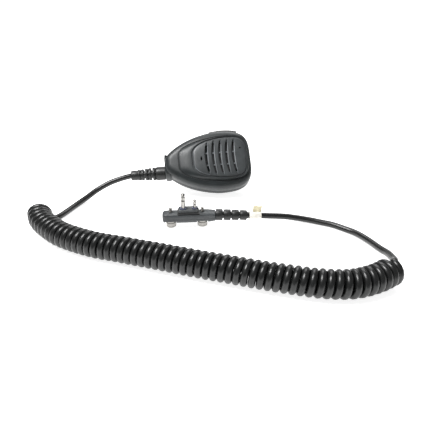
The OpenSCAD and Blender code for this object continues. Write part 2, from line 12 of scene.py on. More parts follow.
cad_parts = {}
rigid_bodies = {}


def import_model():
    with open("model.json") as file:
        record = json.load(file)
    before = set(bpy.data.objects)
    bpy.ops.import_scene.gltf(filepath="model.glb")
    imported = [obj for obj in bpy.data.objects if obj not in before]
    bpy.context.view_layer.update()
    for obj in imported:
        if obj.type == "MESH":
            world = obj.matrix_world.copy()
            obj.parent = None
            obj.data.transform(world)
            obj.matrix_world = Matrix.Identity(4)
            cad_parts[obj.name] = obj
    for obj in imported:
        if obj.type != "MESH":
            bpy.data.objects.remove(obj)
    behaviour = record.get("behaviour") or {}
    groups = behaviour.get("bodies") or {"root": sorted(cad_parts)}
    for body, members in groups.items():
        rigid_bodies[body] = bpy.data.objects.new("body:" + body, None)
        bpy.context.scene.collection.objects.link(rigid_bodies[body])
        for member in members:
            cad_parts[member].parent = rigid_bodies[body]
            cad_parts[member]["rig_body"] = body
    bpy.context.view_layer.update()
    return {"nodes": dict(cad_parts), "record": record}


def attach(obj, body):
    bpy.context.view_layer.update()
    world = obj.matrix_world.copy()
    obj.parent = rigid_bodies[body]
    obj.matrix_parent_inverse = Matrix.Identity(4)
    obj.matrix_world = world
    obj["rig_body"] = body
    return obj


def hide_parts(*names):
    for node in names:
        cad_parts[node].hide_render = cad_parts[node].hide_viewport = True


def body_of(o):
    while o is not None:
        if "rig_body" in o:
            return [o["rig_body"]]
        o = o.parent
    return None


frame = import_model()

# Driving dimensions in millimetres. They follow the CAD model's, but the slits, the mouth and vent
# holes, the pins' seats and the rear shell's floor differ a little.
MM = 0.001
LEAN, TURN = math.radians(48), math.radians(3.5)
MIC_SHIFT = 6.8
CLIP_HALF = 9
CLIP_BACK = 17.2
MIC_LIFT = CLIP_HALF * math.sin(LEAN) + CLIP_BACK * math.cos(LEAN) - 0.42
MIC = (Matrix.Translation((0, MIC_SHIFT, MIC_LIFT)) @ Matrix.Rotation(LEAN, 4, "X")
       @ Matrix.Rotation(TURN, 4, "Z"))
TABLE_FRAME = Matrix.Identity(4)
# Rounded outlines: half length, half width, squareness, narrowing, its reach, and the middle's x.
HOUSING_OUTLINE = (39.5, 28, 4, 0.6, 0.65, 0)
PANEL_OUTLINE = (23.6, 18.4, 4.6, 0.36, 0.6, 10.2)
ISLAND_OUTLINE = (32.1, 21.2, 4.6, 0.4, 0.65, 5)
# Heights of the seam, the front's inner ceiling, the panel's pocket and seat, and the front's face.
SPLIT_Z, CEILING_Z, POCKET_Z, PANEL_Z, FACE_Z = 13, 23.5, 25.8, 26.2, 27.9
CABLE_R = 2.5
CURL_R = 9.8
PLUG_Y = -69
PLUG_LOW, PLUG_HIGH, PLUG_SEAM = 4.4, 13, 8.2
BOSS_TOP = 16
KNOBS = ((-33.8, "left"), (-8.2, "right"))
KNOB_HOLE_R, KNOB_RECESS_R, KNOB_RECESS_TOP = 1.13, 4.55, 6.35
PIN_SEATS = ((-23.4, 2.62), (-14.2, 2.12))
TAG_AT = (30.2, -70.5, 8.3)
RELIEF_FROM, RELIEF_TO = MIC @ Vector((-39, -4.5, 9.5)), Vector((-71.5, -5, 17.3))
PLUG_RELIEF_FROM, PLUG_RELIEF_TO = Vector((-0.6, PLUG_Y - 0.3, 9.6)), Vector((29, -70.5, 8.5))
SLOT_COUNT, SLOT_PITCH, FIRST_SLOT_X = 5, 6.1, -1.4
SLOT_BOW_R, SLOT_HALF_LEN, FIRST_SLOT_HALF_LEN = 81, 16.5, 15
SLIT_HALF_WIDE, SLIT_END_GAP = 0.75, 2.2
HOLE_R, MOUTH_X, MOUTH_STRETCH, VENT_AT = 0.8, -6.3, 2.6, (29.5, 7.2)
CLIP_X = 6
REAR_FLOOR = 3
HOUSING_SCREWS = ((-24, 12), (-24, -12), (33.3, 0))

# Routes of the cord, in metres: the two straight stretches and the curl's middle line.
MIC_ROUTE = [
    (-0.0715, -0.005, 0.0173), (-0.0813, -0.0046, 0.0146), (-0.0922, -0.0069, 0.0115),
    (-0.1028, -0.0122, 0.0075), (-0.1119, -0.0223, 0.0042), (-0.120, -0.0345, 0.0026),
    (-0.1265, -0.0485, 0.0026), (-0.1307, -0.0535, 0.0026)]
CURL_ROUTE = [
    (-0.141, -0.0575), (-0.136, -0.069), (-0.127, -0.080), (-0.115, -0.0915), (-0.100, -0.101),
    (-0.085, -0.1085), (-0.071, -0.1135), (-0.054, -0.120), (-0.033, -0.128), (-0.0125, -0.136),
    (0.007, -0.143), (0.026, -0.150), (0.0445, -0.156), (0.062, -0.161), (0.081, -0.163),
    (0.098, -0.159), (0.112, -0.152)]
PLUG_ROUTE = [
    (0.029, -0.0705, 0.0085), (0.0443, -0.0705, 0.0073), (0.0596, -0.0695, 0.0055),
    (0.0698, -0.070, 0.004), (0.0794, -0.0721, 0.003), (0.0885, -0.076, 0.0026),
    (0.097, -0.0806, 0.0026), (0.1047, -0.0874, 0.0026), (0.1113, -0.0956, 0.0032),
    (0.1148, -0.1093, 0.0055), (0.1158, -0.1263, 0.0095), (0.1163, -0.1366, 0.0125),
    (0.1144, -0.148, 0.0158)]
TURN_PITCH = 0.00525
POINTS_PER_TURN = 20


# ---- Materials -------------------------------------------------------------------------------

def new_material(name):
    """An empty node material with its Principled shader."""
    material = bpy.data.materials.new(name)
    material.use_nodes = True
    return material, material.node_tree, material.node_tree.nodes["Principled BSDF"]


def noise(tree, scale, detail=4, rough=0.55, stretch=None):
    """A noise texture in the object's own space, with scale in features per metre."""
    where = tree.nodes.new("ShaderNodeTexCoord")
    texture = tree.nodes.new("ShaderNodeTexNoise")
    texture.inputs["Scale"].default_value = scale
    texture.inputs["Detail"].default_value = detail
    texture.inputs["Roughness"].default_value = rough
    source = where.outputs["Object"]
    if stretch:
        mapping = tree.nodes.new("ShaderNodeMapping")
        mapping.inputs["Scale"].default_value = stretch
        tree.links.new(source, mapping.inputs["Vector"])
        source = mapping.outputs["Vector"]
    tree.links.new(source, texture.inputs["Vector"])
    return texture.outputs["Fac"]


def ramp(tree, fac, low, high, low_at=0.3, high_at=0.7):
    """Maps a grey value onto the range between two colours."""
    node = tree.nodes.new("ShaderNodeValToRGB")
    node.color_ramp.elements[0].position, node.color_ramp.elements[0].color = low_at, (*low, 1)
    node.color_ramp.elements[1].position, node.color_ramp.elements[1].color = high_at, (*high, 1)
    tree.links.new(fac, node.inputs["Fac"])
    return node.outputs["Color"]


def value_range(tree, fac, low, high):
    """Maps a grey value from 0.3-0.7 onto low-high."""
    node = tree.nodes.new("ShaderNodeMapRange")
    for label, value in zip(("From Min", "From Max", "To Min", "To Max"), (0.3, 0.7, low, high)):
        node.inputs[label].default_value = value
    tree.links.new(fac, node.inputs["Value"])
    return node.outputs["Result"]


def bump(tree, shader, height, distance, strength=1.0):
    """Raises the surface by a height texture; distance is in metres."""
    node = tree.nodes.new("ShaderNodeBump")
    node.inputs["Distance"].default_value = distance
    node.inputs["Strength"].default_value = strength
    tree.links.new(height, node.inputs["Height"])
    tree.links.new(node.outputs["Normal"], shader.inputs["Normal"])


def moulded(name, colour, rough, grain=2600, depth=0.00002, specular=0.5, vary=0.25):
    """Moulded plastic or rubber: fine spark-eroded grain, slight blotches of tone and gloss."""
    material, tree, shader = new_material(name)
    blotch = noise(tree, 90, 3)
    low = [c * (1 - vary) for c in colour]
    high = [min(1, c * (1 + vary)) for c in colour]
    tree.links.new(ramp(tree, blotch, low, high), shader.inputs["Base Color"])
    tree.links.new(value_range(tree, noise(tree, 400, 3), rough * 0.86, min(1, rough * 1.12)),
                   shader.inputs["Roughness"])
    shader.inputs["Specular IOR Level"].default_value = specular
    bump(tree, shader, noise(tree, grain, 3, 0.6), depth)
    return material


def metal(name, colour, rough, scratch=(1, 1, 1)):
    """Plated or turned metal with fine scratches."""
    material, tree, shader = new_material(name)
    grain = noise(tree, 1500, 4, 0.6, scratch)
    tree.links.new(ramp(tree, grain, [c * 0.82 for c in colour], colour), shader.inputs["Base Color"])
    tree.links.new(value_range(tree, grain, rough * 0.7, rough * 1.3), shader.inputs["Roughness"])
    shader.inputs["Metallic"].default_value = 1.0
    bump(tree, shader, grain, 0.000004)
    return material


def paper(name, colour, stain):
    """Crepe paper tape: fine creases and a faint stain."""
    material, tree, shader = new_material(name)
    tree.links.new(ramp(tree, noise(tree, 260, 4), stain, colour, 0.25, 0.6), shader.inputs["Base Color"])
    shader.inputs["Roughness"].default_value = 0.85
    bump(tree, shader, noise(tree, 1400, 4, 0.6, (4, 1, 1)), 0.00012)
    return material


def weave(name, colour):
    """A fine woven screen."""
    material, tree, shader = new_material(name)
    where = tree.nodes.new("ShaderNodeTexCoord")
    checks = tree.nodes.new("ShaderNodeTexChecker")
    checks.inputs["Scale"].default_value = 2500
    checks.inputs["Color1"].default_value = (*colour, 1)
    checks.inputs["Color2"].default_value = (*[c * 0.3 for c in colour], 1)
    tree.links.new(where.outputs["Object"], checks.inputs["Vector"])
    tree.links.new(checks.outputs["Color"], shader.inputs["Base Color"])
    shader.inputs["Roughness"].default_value = 0.8
    return material


HOUSING = moulded("housing_plastic_look", (0.015, 0.019, 0.020), 0.40)
PANEL = moulded("panel_plastic_look", (0.042, 0.047, 0.049), 0.36)
# A lighter, glossier plastic for the slots' sloping floors: a painted highlight, as the real floors are the
# panel's own plastic.
SLOT_PAINTED_HIGHLIGHT = moulded("slot_floor_painted_highlight_look", (0.15, 0.16, 0.17), 0.24)
KEY = moulded("key_plastic_look", (0.055, 0.055, 0.052), 0.5)
CLIP = moulded("clip_plastic_look", (0.022, 0.025, 0.024), 0.42)
JACKET = moulded("cable_jacket_look", (0.006, 0.0065, 0.0065), 0.3, 1500, 0.00001, 0.5, 0.2)
RELIEF = moulded("relief_rubber_look", (0.010, 0.011, 0.011), 0.40, 1800)
RUBBER = moulded("black_rubber_look", (0.014, 0.014, 0.014), 0.6, 1800)
CAP = moulded("cap_rubber_look", (0.022, 0.023, 0.023), 0.55, 1800)
PLUG = moulded("plug_plastic_look", (0.050, 0.055, 0.058), 0.48)
COLLAR = moulded("collar_plastic_look", (0.09, 0.10, 0.16), 0.45)
BOARD = moulded("board_green_look", (0.012, 0.10, 0.05), 0.35, 700, 0.00001)
IVORY = moulded("switch_ivory_look", (0.62, 0.60, 0.52), 0.4)
FILM = moulded("speaker_film_look", (0.03, 0.03, 0.032), 0.35)
VENT = moulded("vent_film_look", (0.012, 0.012, 0.012), 0.7)
FOAM = moulded("foam_rubber_look", (0.05, 0.05, 0.05), 0.9, 900, 0.0001)
MESH = weave("acoustic_mesh_look", (0.012, 0.012, 0.012))
STEEL = metal("plated_steel_look", (0.56, 0.56, 0.57), 0.32)
DARK_STEEL = metal("magnet_steel_look", (0.36, 0.37, 0.38), 0.4)
SCREW = metal("screw_steel_look", (0.62, 0.62, 0.63), 0.28)
CAN = metal("aluminium_can_look", (0.76, 0.77, 0.79), 0.3)
CONTACT = metal("nickel_contact_look", (0.40, 0.39, 0.37), 0.25)
KNOB = metal("nickel_knob_look", (0.36, 0.35, 0.33), 0.33)
TAPE = paper("paper_tape_look", (0.86, 0.84, 0.79), (0.74, 0.71, 0.62))
FLAG = paper("tape_flag_look", (0.80, 0.74, 0.52), (0.70, 0.62, 0.38))


# ---- Mesh helpers ----------------------------------------------------------------------------

def piece(name, points, faces, material, body="microphone", place=MIC, replaces=(), sharp=40):
    """A mesh piece from points in millimetres; it rides on a body and stands for CAD nodes."""
    mesh = bpy.data.meshes.new(name)
    mesh.from_pydata([place @ Vector(p) * MM for p in points], [], faces)
    obj = bpy.data.objects.new(name, mesh)
    bpy.context.scene.collection.objects.link(obj)
    finish_piece(obj, material, body, replaces, sharp)
    return obj


def finish_piece(obj, material, body, replaces=(), sharp=40):
    """Cleans the normals, gives the material, shades smoothly up to an angle, sets the piece on its body and
    hides the CAD nodes it replaces.
    """
    tidy = bmesh.new()
    tidy.from_mesh(obj.data)
    bmesh.ops.remove_doubles(tidy, verts=tidy.verts, dist=1e-7)
    bmesh.ops.recalc_face_normals(tidy, faces=tidy.faces)
    tidy.to_mesh(obj.data)
    tidy.free()
    obj.data.materials.clear()
    obj.data.materials.append(material)
    obj.data.polygons.foreach_set("use_smooth", [True] * len(obj.data.polygons))
    obj.data.set_sharp_from_angle(angle=math.radians(sharp))
    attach(obj, body)
    if replaces:
        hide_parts(*replaces)


def loft(rings, looped=False):
    """Points and faces of a skin over rings with equal counts; looped joins the last to the first."""
    count, total = len(rings[0]), len(rings)
    points = [p for ring in rings for p in ring]
    faces = []
    for i in range(total if looped else total - 1):
        a, b = i * count, (i + 1) % total * count
        faces += [(a + k, a + (k + 1) % count, b + (k + 1) % count, b + k) for k in range(count)]
    if not looped:
        faces += [tuple(range(count)), tuple(range((total - 1) * count, total * count))[::-1]]
    return points, faces


def turned(profile, count=48, shape=None):
    """A turned solid about +z from (z, radius) steps; shape(z, angle, radius) may vary the radius."""
    rings = []
    for z, radius in profile:
        ring = []
        for k in range(count):
            angle = 2 * math.pi * k / count
            r = shape(z, angle, radius) if shape else radius
            ring.append((r * math.cos(angle), r * math.sin(angle), z))
        rings.append(ring)
    return loft(rings)


def aim(start, end):
    """A frame at start whose +z points at end."""
    return Matrix.Translation(start) @ (end - start).to_track_quat("Z", "Y").to_matrix().to_4x4()


def box_points(low, high):
    """Points and faces of a box."""
    points = [(x, y, z) for x in (low[0], high[0]) for y in (low[1], high[1]) for z in (low[2], high[2])]
    return points, [(0, 1, 3, 2), (4, 6, 7, 5), (0, 4, 5, 1), (2, 3, 7, 6), (0, 2, 6, 4), (1, 5, 7, 3)]


def joined(parts):
    """Several (points, faces) shells as one."""
    points, faces = [], []
    for shell_points, shell_faces in parts:
        faces += [tuple(i + len(points) for i in face) for face in shell_faces]
        points += list(shell_points)
    return points, faces


def moved(shell, x, y=0):
    """A (points, faces) shell shifted sideways."""
    points, faces = shell
    return [(p[0] + x, p[1] + y, p[2]) for p in points], faces


def apply_modifiers(obj):
    """Freezes an object's modifiers into its mesh."""
    graph = bpy.context.evaluated_depsgraph_get()
    mesh = bpy.data.meshes.new_from_object(obj.evaluated_get(graph))
    obj.modifiers.clear()
    obj.data = mesh


def cut(obj, parts, place=MIC):
    """Cuts (points, faces) solids out of a piece."""
    points, faces = joined(parts)
    mesh = bpy.data.meshes.new("cutter")
    mesh.from_pydata([place @ Vector(p) * MM for p in points], [], faces)
    cutter = bpy.data.objects.new("cutter", mesh)
    bpy.context.scene.collection.objects.link(cutter)
    normals = bmesh.new()
    normals.from_mesh(mesh)
    bmesh.ops.recalc_face_normals(normals, faces=normals.faces)
    normals.to_mesh(mesh)
    normals.free()
    modifier = obj.modifiers.new("cut", "BOOLEAN")
    modifier.object, modifier.operation, modifier.solver = cutter, "DIFFERENCE", "EXACT"
    modifier.use_self = True
    apply_modifiers(obj)
    bpy.data.objects.remove(cutter)


def soften(obj, width, segments=3, angle=30):
    """Rounds a piece's sharp edges; width is in millimetres."""
    modifier = obj.modifiers.new("soften", "BEVEL")
    modifier.width, modifier.segments = width * MM, segments
    modifier.limit_method, modifier.angle_limit = "ANGLE", math.radians(angle)
    modifier.use_clamp_overlap = True
    modifier.harden_normals = False
    apply_modifiers(obj)


def refined(node, material, width):
    """A copy of a CAD node with its edges rounded, shown in the node's place."""
    source = frame["nodes"][node]
    mesh = source.data.copy()
    obj = bpy.data.objects.new(node + "_moulded", mesh)
    bpy.context.scene.collection.objects.link(obj)
    tidy = bmesh.new()
    tidy.from_mesh(mesh)
    bmesh.ops.remove_doubles(tidy, verts=tidy.verts, dist=2e-6)
    bmesh.ops.dissolve_limit(tidy, angle_limit=math.radians(1), verts=tidy.verts, edges=tidy.edges)
    tidy.to_mesh(mesh)
    tidy.free()
    soften(obj, width, 2)
    finish_piece(obj, material, body_of(source)[0], (node,), 35)


# ---- The housing -----------------------------------------------------------------------------

def outline(half_len, half_wide, square, drop, reach, x0, count):
    """A rounded outline with count points, narrowed towards its -x end."""
    points = []
    for k in range(count):
        angle = 2 * math.pi * k / count
        x = half_len * math.copysign(abs(math.cos(angle)) ** (2 / square), math.cos(angle))
        y = half_wide * math.copysign(abs(math.sin(angle)) ** (2 / square), math.sin(angle))
        along = (x + half_len) / (2 * half_len)
        points.append((x0 + x, y * (1 - drop * (1 - min(1, along / reach)) ** 1.7)))
    return points


def grown_ring(shape, grow, z, count=240):
    """An outline's points at a height, grown outwards."""
    half_len, half_wide, *rest = shape
    return [(x, y, z) for x, y in outline(half_len + grow, half_wide + grow, *rest, count)]


def housing_ring(inset, z):
    """The housing's outline, moved inwards."""
    return grown_ring(HOUSING_OUTLINE, -inset, z)


def panel_ring(grow, z):
    """The grille panel's outline, grown outwards."""
    return grown_ring(PANEL_OUTLINE, grow, z)


def island_ring(grow, z):
    """The outline of the raised middle round the panel, grown outwards."""
    return grown_ring(ISLAND_OUTLINE, grow, z)


def between(a, b, share, z):
    """A ring part of the way from one ring to another, at a height."""
    return [(p[0] + (q[0] - p[0]) * share, p[1] + (q[1] - p[1]) * share, z) for p, q in zip(a, b)]


def key_cutter():
    """The opening in the side wall for the talk key."""
    return box_points((3.1, 20, 8.1), (29.9, 34, 20.9))


def front_shell():
    """The talker's side: side wall, broad shoulder, a fine groove, a slope up to the grille's seat."""
    side = [(0.45, SPLIT_Z), (0.12, SPLIT_Z + 0.18), (0, SPLIT_Z + 0.5), (0, 19.5)]
    shoulder = [(0.12, 20.6), (0.5, 21.7), (1.2, 22.7), (2.3, 23.6), (3.6, 24.3), (5, 24.8), (6, 25)]
    rings = [housing_ring(inset, z) for inset, z in side + shoulder]
    slope_z = 25.6
    groove = [(0.9, 25.2), (0.5, 25.25), (0.3, 24.8), (-0.2, 24.8), (-0.4, 25.35), (-0.75, slope_z)]
    rings += [island_ring(grow, z) for grow, z in groove]
    start, seat = island_ring(-0.75, 0), panel_ring(1.6, 0)
    for share in (0.12, 0.3, 0.5, 0.7, 0.86, 0.96):
        rise = math.sin(share * math.pi / 2)
        rings.append(between(start, seat, share, slope_z + (FACE_Z - slope_z) * rise))
    rings += [panel_ring(1.5, FACE_Z), panel_ring(1.25, FACE_Z - 0.25), panel_ring(1.2, POCKET_Z)]
    rings += [panel_ring(-4, POCKET_Z), panel_ring(-4, CEILING_Z), housing_ring(3.8, CEILING_Z)]
    rings += [housing_ring(2.6, 22.4), housing_ring(2, 21.6), housing_ring(2, SPLIT_Z)]
    shell = piece("front_shell_moulding", *loft(rings, looped=True), HOUSING, replaces=("front_shell",))
    cut(shell, [key_cutter(), box_points((-45, -11.4, 8), (-29.6, 8.4, 21.9)),
                box_points((-37.2, 7.3, 13.2), (-29, 17, 21.2))])
    finish_piece(shell, HOUSING, "microphone", (), 32)


def neck_block():
    """The block round the cable's exit, with a seat for the earphone jack's cap."""
    profile = [(-11, 4), (-11.5, 5), (-11.5, 16.4), (-10, 19.4), (-7, 21.6), (3.6, 22), (6.4, 21.4),
               (8, 19.8), (8.5, 18), (8.5, 13.05), (7, 12.9), (7, 4)]
    stations = [(-39.9, 0.93), (-39.5, 0.98), (-38.9, 1), (-35.6, 1), (-35.2, 0.96), (-34.2, 0.96),
                (-33.8, 1), (-29.5, 1)]
    rings = [[(x, y * squeeze, SPLIT_Z + (z - SPLIT_Z) * squeeze) for y, z in profile]
             for x, squeeze in stations]
    block = piece("neck_block_moulding", *loft(rings), HOUSING)
    cut(block, [box_points((-37.2, 7.3, 13.2), (-29, 12, 21.2)),
                box_points((-41, 7, 14.4), (-37.1, 12, 20.1)),
                box_points((-37.6, -1.5, 12), (-28, 7.1, 20.9))])
    local = MIC.inverted()
    seat = turned([(-3, 4.4), (1.1, 4.4), (1.1, 6.5), (22, 6.5)])
    bore = ([local @ aim(RELIEF_FROM, RELIEF_TO) @ Vector(p) for p in seat[0]], seat[1])
    cut(block, [bore])
    finish_piece(block, HOUSING, "microphone", (), 35)


def bow(x, y):
    """The bowed middle line of a slot whose middle lies at x."""
    return x + SLOT_BOW_R - math.sqrt(SLOT_BOW_R * SLOT_BOW_R - y * y)


def slot_recess(x, reach):
    """A lens-shaped hollow whose floor rises towards +x."""
    section = [(-1.9, 31), (-1.8, 26.9), (-0.55, 26.8), (0.9, 27.7), (1.65, 28.0), (1.9, 31)]
    rings = []
    for k in range(19):
        y = reach * (-1 + 2 * k / 18) * 0.999
        swell = max(0.2, (1 - (y / reach) ** 2) ** 0.33)
        rings.append([(bow(x, y) + dx * swell, y, z) for dx, z in section])
    return loft(rings)


def slot_slit(x, low, high):
    """A slit through the panel along the middle of a recess."""
    corners = [(-SLIT_HALF_WIDE, 25), (SLIT_HALF_WIDE, 25), (SLIT_HALF_WIDE, 30), (-SLIT_HALF_WIDE, 30)]
    rings = []
    for k in range(7):
        y = low + (high - low) * k / 6
        rings.append([(bow(x, y) + dx, y, z) for dx, z in corners])
    return loft(rings)


def grille_panel():
    """The domed panel with bowed slots, an oval hole for the voice and a small vent hole."""
    dome = [(1.1, 0), (1.1, 0.8), (0.15, 0.8), (0, 1), (0, 1.5), (-0.2, 1.85), (-0.6, 2.1), (-1.3, 2.25),
            (-3.5, 2.45), (-8, 2.65), (-13, 2.7)]
    rings = [panel_ring(grow, PANEL_Z + rise) for grow, rise in dome]
    panel = piece("grille_panel_moulding", *loft(rings), PANEL, replaces=("grille_panel",))
    cutters = []
    for i in range(SLOT_COUNT):
        x, reach = FIRST_SLOT_X + SLOT_PITCH * i, SLOT_HALF_LEN if i else FIRST_SLOT_HALF_LEN
        cutters.append(slot_recess(x, reach))
        for low, high in ((SLIT_END_GAP - reach, -7.1), (-5.9, 4.2), (5.4, reach - SLIT_END_GAP)):
            cutters.append(slot_slit(x, low, high))
    cut(panel, cutters)
    hole = turned([(25, HOLE_R), (31, HOLE_R)], 24)
    oval = ([(p[0] + MOUTH_X, p[1] * MOUTH_STRETCH, p[2]) for p in hole[0]], hole[1])
    cut(panel, [oval, moved(hole, *VENT_AT)])
    soften(panel, 0.12, 2, 40)
    finish_piece(panel, PANEL, "microphone", (), 35)
    # The slots' sloping floors catch the light more than the rest; their faces turned towards -x get a
    # lighter, glossier material, a painted highlight.
    panel.data.materials.append(SLOT_PAINTED_HIGHLIGHT)
    local = MIC.inverted()
    turn_back = local.to_3x3()
    for face in panel.data.polygons:
        normal = turn_back @ face.normal
        middle = local @ (face.center / MM)
        if -0.75 < normal.x < -0.15 and 26.6 < middle.z < 28.3 and abs(middle.y) < 16:
            face.material_index = 1


def rear_shell():
    """The back half: seam lip, side wall, a broad rounded edge, and a flat back with the clip's seat."""
    inside = [(16, REAR_FLOOR), (8, REAR_FLOOR), (3.6, 4.4), (2, 7), (2, SPLIT_Z - 0.05)]
    lip = [(0.45, SPLIT_Z - 0.05), (0.12, SPLIT_Z - 0.22), (0, SPLIT_Z - 0.5)]
    edge = [(0, 7), (0.12, 5.9), (0.5, 4.7), (1.3, 3.3), (2.5, 2.0), (4.1, 0.95), (5.6, 0.3), (7, 0),
            (16, 0)]
    rings = [housing_ring(inset, z) for inset, z in inside + lip + edge]
    shell = piece("rear_shell_moulding", *loft(rings), HOUSING, replaces=("rear_shell",))
    cut(shell, [key_cutter(), box_points((-45, -11.4, 4.2), (-31.6, 6.9, 14))])
    clip_seat = turned([(-1, 11), (0, 10.8), (0.4, 10.4), (2, 10.4)], 64)
    screw_hole = turned([(-1, 2.3), (5, 2.3)], 64)
    cut(shell, [moved(clip_seat, CLIP_X)])
    for x, y in HOUSING_SCREWS:
        cut(shell, [moved(screw_hole, x, y)])
    cut(shell, [moved(turned([(1, 1.3), (5, 1.3)]), CLIP_X)])
    finish_piece(shell, HOUSING, "microphone", (), 32)


# ---- The strain reliefs, plug and tag --------------------------------------------------------

def rounded_disc(z, thick, radius, edge=0.45):
    """A disc with rounded rims, as (z, radius) steps."""
    rim = [(0, radius - edge), (edge * 0.3, radius - edge * 0.3), (edge, radius)]
    return [(z + step, r) for step, r in rim] + [(z + thick - step, r) for step, r in reversed(rim)]


def mic_relief():
    """Collar, staggered ribs joined by bridges, and the end ring of the microphone's strain relief."""
    total = (RELIEF_TO - RELIEF_FROM).length
    pitch = 3.45
    parts = [turned([(1.2, 6), (1.3, 6.25), (6, 6.3), (8.6, 6.35), (9.3, 6.1), (9.6, 5.4)])]
    parts.append(turned([(3.2, 3.6), (total - 2, 3.3)]))
    for i in range(5):
        parts.append(turned(rounded_disc(10.6 + pitch * i, 2.2, 6.15 - 0.28 * i)))
        for side in (-1, 1):
            out = side * (4.6 - 0.25 * i)
            x, y = (out, 0) if i % 2 else (0, out)
            wide_x, wide_y = (0.9, 1.5) if i % 2 else (1.5, 0.9)
            parts.append(box_points((x - wide_x, y - wide_y, 8.9 + pitch * i),
                                    (x + wide_x, y + wide_y, 11.2 + pitch * i)))
    parts.append(turned(rounded_disc(total - 7, 7, 4.55, 0.6)))
    piece("mic_relief_moulding", *joined(parts), RELIEF, place=aim(RELIEF_FROM, RELIEF_TO),
          replaces=("mic_strain_relief",))


def plug_relief():
    """The plug's strain relief: a row of rounded segments with short gaps."""
    total = (PLUG_RELIEF_TO - PLUG_RELIEF_FROM).length
    pitch = 6.6
    parts = [turned([(1, 2.8), (total, 2.8)])]
    for i in range(4):
        long = min(5.5, total - 3.5 - pitch * i)
        parts.append(turned(rounded_disc(3.4 + pitch * i, long, 4.65 - 0.18 * i)))
    parts.append(box_points((-3.2, -1.2, 3.6), (3.2, 1.2, total - 1)))
    piece("plug_relief_moulding", *joined(parts), RELIEF, place=aim(PLUG_RELIEF_FROM, PLUG_RELIEF_TO),
          replaces=("plug_strain_relief",))


def plug_ring(x, wide, low, high, count=48):
    """A cross-section of the plug: a box with well rounded corners."""
    ring = []
    for k in range(count):
        angle = 2 * math.pi * k / count
        y = wide * math.copysign(abs(math.cos(angle)) ** 0.5, math.cos(angle))
        z = math.copysign(abs(math.sin(angle)) ** 0.5, math.sin(angle))
        ring.append((x, PLUG_Y + y, (low + high) / 2 + (high - low) / 2 * z))
    return ring


def plug_housing():
    """The plug's two shells, rounded at the blind end and tapering towards the cable."""
    stations = [(-40.55, 2.6, 6.4, 11.2), (-40.3, 3.3, 5.5, 12.1), (-39.6, 4.1, 4.9, 12.65),
                (-38.4, 4.7, 4.5, 12.95), (-36.5, 5, PLUG_LOW, PLUG_HIGH), (-5.5, 5, PLUG_LOW, PLUG_HIGH),
                (-3.4, 4.9, 4.5, 12.9), (-1.4, 4.75, 4.7, 12.7), (0.6, 4.6, 4.9, 12.5), (2, 4.5, 5, 12.4),
                (2.4, 4.2, 5.3, 12.1)]
    rings = [plug_ring(*station) for station in stations]
    below = box_points((-60, -120, -5), (60, 0, PLUG_SEAM + 0.06))
    above = box_points((-60, -120, PLUG_SEAM - 0.06), (60, 0, 30))
    hole = turned([(-1, KNOB_HOLE_R), (30, KNOB_HOLE_R)], 32)
    recess = turned([(-1, KNOB_RECESS_R), (KNOB_RECESS_TOP, KNOB_RECESS_R)], 48)
    for node, waste in (("plug_body", below), ("plug_cover", above)):
        shell = piece(node + "_moulding", *loft(rings), PLUG, place=TABLE_FRAME, replaces=(node,))
        cut(shell, [waste], TABLE_FRAME)
        for x, _ in KNOBS:
            cut(shell, [moved(hole, x, PLUG_Y)], TABLE_FRAME)
            cut(shell, [moved(recess, x, PLUG_Y)], TABLE_FRAME)
            near_side = box_points((x - KNOB_RECESS_R, PLUG_Y - 9, -1),
                                   (x + KNOB_RECESS_R, PLUG_Y, KNOB_RECESS_TOP))
            cut(shell, [near_side], TABLE_FRAME)
        soften(shell, 0.12, 2, 50)
        finish_piece(shell, PLUG, "microphone", (), 35)


def plug_boss():
    """The raised block that the two pins stand on."""
    block = box_points((-27.3, PLUG_Y - 3.9, 11.8), (-11.7, PLUG_Y + 3.9, BOSS_TOP))
    boss = piece("plug_boss_moulding", *block, PLUG, place=TABLE_FRAME)
    seats = [moved(turned([(10, radius), (20, radius)], 40), x, PLUG_Y) for x, radius in PIN_SEATS]
    cut(boss, seats, TABLE_FRAME)
    soften(boss, 0.5, 3)
    finish_piece(boss, PLUG, "microphone", (), 35)


def knob(x, side):
    """A thumb screw: knurled knob, flange, shank and threaded tip."""
    def knurl(z, angle, radius):
        """Grooves along the knob's rim."""
        on_rim = 0.6 < z < 4.1 and radius > 3.6
        return radius - 0.16 * (1 + math.cos(26 * angle)) if on_rim else radius

    place, body = Matrix.Translation((x, PLUG_Y, 0)), "thumb_" + side
    profile = [(0, 3.1), (0.25, 3.6), (0.65, 4.05), (0.9, 4.15), (3.9, 4.15), (4.15, 3.9), (4.2, 3.5),
               (4.5, 3.45), (4.6, 3.8), (4.9, 4), (5.7, 4), (6, 3.7), (6, 1.05), (13.2, 1.05), (13.25, 1.15)]
    for i in range(8):
        profile += [(13.4 + 0.4 * i, 1.3), (13.6 + 0.4 * i, 1.12)]
    profile.append((16.6, 1.0))
    screw = piece(side + "_thumb_screw_turned", *turned(profile, 156, knurl), KNOB, body, place,
                  ("thumb_screw_" + side,), 30)
    cut(screw, [box_points((-5, -0.4, -1), (5, 0.4, 0.7))], place)
    finish_piece(screw, KNOB, body, (), 30)


